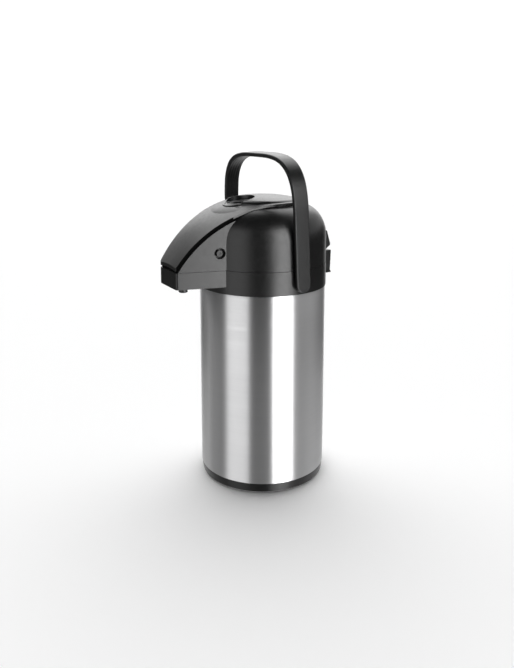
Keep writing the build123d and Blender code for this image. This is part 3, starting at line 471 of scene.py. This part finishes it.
def copied(node, name, finish):
    """Copy of a part with its triangles joined, riding with the original's body and given the finish
    passed in.
    """
    only(nodes[node])
    bpy.ops.object.duplicate()
    piece = bpy.context.object
    piece.name = name
    piece.data.name = name
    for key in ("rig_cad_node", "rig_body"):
        if key in piece:
            del piece[key]
    bpy.ops.object.mode_set(mode="EDIT")
    bpy.ops.mesh.select_all(action="SELECT")
    bpy.ops.mesh.remove_doubles(threshold=MERGE)
    bpy.ops.object.mode_set(mode="OBJECT")
    piece.data.materials.clear()
    piece.data.materials.append(finish)
    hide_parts(node)
    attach(piece, body_of_node[node])
    return piece


print("corners closer than", MERGE, "m are merged in each copy")

# %% [markdown]
# ## Soft edges for the mouldings
# A moulded edge is never sharp: the tool leaves a radius of a few tenths of a millimetre, and that
# radius catches the light as a fine line.  The engineering solids have crisp edges, so on the copy
# of each moulding that shows, the flat faces are rejoined and the edges are bevelled.  The curved
# faces are shaded smooth, and weighted normals keep the big flat faces from showing odd shades.

# %% Softened mouldings
FLAT = math.radians(1.0)
CREASE = math.radians(30.0)


def softened(node, name, width, finish, steps=2):
    """Copy of a moulding with its flat faces rejoined and its edges rounded."""
    piece = copied(node, name, finish)
    bpy.ops.object.mode_set(mode="EDIT")
    bpy.ops.mesh.select_all(action="SELECT")
    bpy.ops.mesh.dissolve_limited(angle_limit=FLAT)
    bpy.ops.object.mode_set(mode="OBJECT")
    rounding = piece.modifiers.new("rounding", "BEVEL")
    rounding.width = width
    rounding.segments = steps
    rounding.limit_method = "ANGLE"
    rounding.angle_limit = CREASE
    bpy.ops.object.modifier_apply(modifier="rounding")
    bpy.ops.object.shade_smooth_by_angle(angle=SMOOTH_UP_TO)
    steady = piece.modifiers.new("steady", "WEIGHTED_NORMAL")
    steady.keep_sharp = True
    steady.weight = 100
    bpy.ops.object.modifier_apply(modifier="steady")
    print(name, "faces:", len(piece.data.polygons))
    return piece


dome_and_nose = softened("lid_shell", "dome_and_nose", 0.0005, lid_black)
nose_cover = softened("top_cover", "nose_cover", 0.0005, cover_black)
softened("collar", "collar_ring", 0.0004, lid_black)
softened("push_button", "pump_button", 0.0005, button_black)
softened("lock_dial", "lock_knob", 0.0003, lid_black)
softened("base_cover", "foot_ring", 0.0004, lid_black)
softened("hinge_bracket", "rear_hinge", 0.0004, lid_black)
softened("spout_nozzle", "pouring_nozzle", 0.0003, lid_black)
softened("release_button_left", "left_release", 0.0003, button_black)
softened("release_button_right", "right_release", 0.0003, button_black)
carrying_bail = softened("carry_handle", "carrying_bail", 0.0004, bail_black, 3)
softened("anti_slip_pad", "foot_pad", 0.0003, foot_black)

# %% [markdown]
# ## The shadow line
# The cover sits on the nose with a recess right under its edge, so the joint reads as one black
# line.  The walls of that recess and the cover's side get painted shade: a darker, matt black that
# stands in for the shade falling in the groove.  They could be a separate piece, but they are faces of
# the two mouldings already, so it is enough to pick those faces by their place and give them a second
# material.

# %% Faces chosen by place
def give_faces(piece, finish, wanted):
    """Second finish on the faces for which wanted(corners, normal) is true."""
    piece.data.materials.append(finish)
    place = len(piece.data.materials) - 1
    count = 0
    for face in piece.data.polygons:
        if wanted([piece.data.vertices[corner].co for corner in face.vertices], face.normal):
            face.material_index = place
            count += 1
    print(piece.name, "faces in", finish.name, ":", count)


# %% The recess under the cover's edge
CREST_Y = 0.0043            # the nose's back is a barrel about an axis along X
CREST_BELOW_LID = 0.07095
CREST_CROWN = 0.5           # twice the barrel's radius across the nose
NOSE_SIDE_START = -0.035
RECESS_FOOT = 0.0066
COVER_SKIN = 0.0003
crest_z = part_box("lid_shell")[0][2] - CREST_BELOW_LID
crest_reach = max(
    math.hypot(vertex.co.y - CREST_Y, vertex.co.z - crest_z)
    for vertex in nodes["top_cover"].data.vertices
)
# Painted shade: a darker, matt black for the groove walls under the cover's edge, standing in for the
# shade there.
shadow_black = moulded_plastic("shadow_black", (0.0015, 0.0015, 0.0015), 0.85, 1200.0, 0.5, 0.05)


def below_crest(corner):
    """How far a point lies under the nose's back, allowing for its crown across the nose."""
    drop = corner.x**2 / CREST_CROWN
    return crest_reach - drop - math.hypot(corner.y - CREST_Y, corner.z - crest_z)


def in_recess(corners, normal):
    """Upright face of the nose, close under the cover."""
    return abs(normal.z) < 0.15 and all(
        corner.y < NOSE_SIDE_START and below_crest(corner) < RECESS_FOOT for corner in corners)


def on_cover_edge(corners, normal):
    """Face on the side of the cover, below its skin."""
    return abs(normal.x) > 0.6 and all(
        corner.y < NOSE_SIDE_START and below_crest(corner) > COVER_SKIN for corner in corners)


# The painted shade goes on the nose's groove walls and on the cover's side.
give_faces(dome_and_nose, shadow_black, in_recess)
give_faces(nose_cover, shadow_black, on_cover_edge)
print("farthest point of the cover from the crest's axis:", round(crest_reach, 5))

# %% [markdown]
# ## The ribs on the bail
# The bail's inner face has fine ribs that run along it, for the grip.  They are too shallow to
# change its outline, so a wave across its width draws them on just the faces that look inwards: in the
# bump, and a little in the colour as painted shade, darker in the grooves between the ribs.

# %% Ribbed finish
ribbed_black, rib_nodes, rib_links, rib_shader = new_finish("ribbed_black")
rib_place = rib_nodes.new("ShaderNodeTexCoord")
rib_wave = rib_nodes.new("ShaderNodeTexWave")
rib_wave.bands_direction = "Y"
rib_wave.inputs["Scale"].default_value = 95.0
rib_wave.inputs["Distortion"].default_value = 0.0
rib_links.new(rib_place.outputs["Object"], rib_wave.inputs["Vector"])
rib_grain = noise_on_object(rib_nodes, rib_links, 1500.0)
rib_links.new(range_of(rib_nodes, rib_links, rib_grain.outputs["Fac"], 0.30, 0.42),
              rib_shader.inputs["Roughness"])
# Painted shade: the colour is darker where the wave is low, in the grooves that the bump presses in.
rib_links.new(two_tone(rib_nodes, rib_links, rib_wave.outputs["Fac"],
                       (0.0015, 0.0015, 0.0015), (0.0045, 0.0045, 0.0046)),
              rib_shader.inputs["Base Color"])
bump_from(rib_nodes, rib_links, rib_shader, rib_wave.outputs["Fac"], 0.5, 0.0003)

# %% Ribbed faces
bail_low, bail_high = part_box("carry_handle")
bail_middle = 0.5 * (bail_low[2] + bail_high[2])
ribs_start = bail_middle - 0.03


def looks_inwards(corners, normal):
    """Face of the strap that looks at the hand."""
    return abs(normal.y) < 0.3 and all(
        corner.z > ribs_start and normal.x * corner.x + normal.z * (corner.z - bail_middle) < 0.0
        for corner in corners)


give_faces(carrying_bail, ribbed_black, looks_inwards)

# %% [markdown]
# ## The bellows and its spring
# Under the button sit a silicone bellows, which is the pump itself, and a steel spring that lifts
# the button again.  Both are soft against the button's stroke, so they fold as it goes down.  Here a
# copy of each is made and shaded smooth, and the spring's copy keeps only part of its faces.

# %% Soft pieces
SPRING_FACES_KEPT = 0.30    # the spring's wire comes with far more faces than it needs


def folding(node, name, finish, faces_kept=1.0):
    """Copy of a soft part, shaded smooth, with only a share of its faces kept when faces_kept is below
    one.
    """
    piece = copied(node, name, finish)
    if faces_kept < 1.0:
        thinning = piece.modifiers.new("thinning", "DECIMATE")
        thinning.ratio = faces_kept
        bpy.ops.object.modifier_apply(modifier="thinning")
    bpy.ops.object.shade_smooth_by_angle(angle=SMOOTH_UP_TO)
    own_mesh(piece)
    return piece


folding("bellows", "pump_bellows", bellows_milk)
folding("return_spring", "lifting_spring", inside_steel, SPRING_FACES_KEPT)

# %% [markdown]
# ## Spinning a sheet
# A turned piece could start as a cylinder, but long reflections show every facet and every change of
# curve.  So its profile is drawn point by point by extruding one vertex, and the profile is spun
# about the pot's axis in many steps, cleaned, turned outwards and only then given its wall.

# %% Spun pieces
def spun_sheet(name, outline, wall, finish, steps=192):
    """Thin turned sheet: (radius, height) points spun about Z, then given its wall inwards."""
    bpy.ops.object.select_all(action="DESELECT")
    bpy.ops.mesh.primitive_plane_add(size=0.001, location=(outline[0][0], 0.0, outline[0][1]))
    piece = bpy.context.object
    piece.name = name
    piece.data.name = name
    bpy.ops.object.transform_apply(location=True, rotation=True, scale=True)
    bpy.ops.object.mode_set(mode="EDIT")
    bpy.ops.mesh.select_all(action="SELECT")
    bpy.ops.mesh.merge(type="CENTER")
    for start, end in zip(outline, outline[1:]):
        step = (end[0] - start[0], 0.0, end[1] - start[1])
        bpy.ops.mesh.extrude_region_move(TRANSFORM_OT_translate={"value": step})
    bpy.ops.mesh.select_all(action="SELECT")
    bpy.ops.mesh.spin(steps=steps, angle=2 * math.pi, center=(0, 0, 0), axis=(0, 0, 1))
    bpy.ops.mesh.select_all(action="SELECT")
    bpy.ops.mesh.remove_doubles(threshold=MERGE)
    bpy.ops.mesh.normals_make_consistent(inside=False)
    bpy.ops.object.mode_set(mode="OBJECT")
    sheet = piece.modifiers.new("sheet", "SOLIDIFY")
    sheet.thickness = wall
    sheet.offset = -1.0
    bpy.ops.object.modifier_apply(modifier="sheet")
    bpy.ops.object.shade_smooth_by_angle(angle=math.radians(40.0))
    piece.data.materials.clear()
    piece.data.materials.append(finish)
    print(name, "faces:", len(piece.data.polygons))
    return piece


# %% [markdown]
# ## The steel shell
# The shell is one drawn sheet: a straight side, a small rolled corner and a shoulder that rises to
# the neck, where the collar hides it.  The radius and the heights come from the engineering part.

# %% The shell itself
SHEET = 0.0006
NECK_RADIUS = 0.0352
NECK_HEIGHT = 0.0064
SHOULDER_RISE = 0.0146
shell_low_corner, shell_high_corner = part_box("outer_shell")
shell_radius = shell_high_corner[0]
shell_low = shell_low_corner[2]
shell_top = shell_high_corner[2]
neck_foot = shell_top - NECK_HEIGHT
shoulder = neck_foot - SHOULDER_RISE
shell_outline = [
    (shell_radius, shell_low),
    (shell_radius, 0.5 * (shell_low + shoulder)),
    (shell_radius, shoulder - 0.0010),
    (shell_radius - 0.0003, shoulder - 0.0003),
    (shell_radius - 0.0010, shoulder),
    (shell_radius - 0.0040, shoulder),
    (NECK_RADIUS + 0.0030, shoulder + 0.0131),
    (NECK_RADIUS, neck_foot),
    (NECK_RADIUS, shell_top),
]
steel_shell = spun_sheet("steel_shell", shell_outline, SHEET, shell_steel)
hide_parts("outer_shell")
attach(steel_shell, "vessel")
print("shell radius and heights:", round(shell_radius, 5), round(shell_low, 5), round(shell_top, 5))
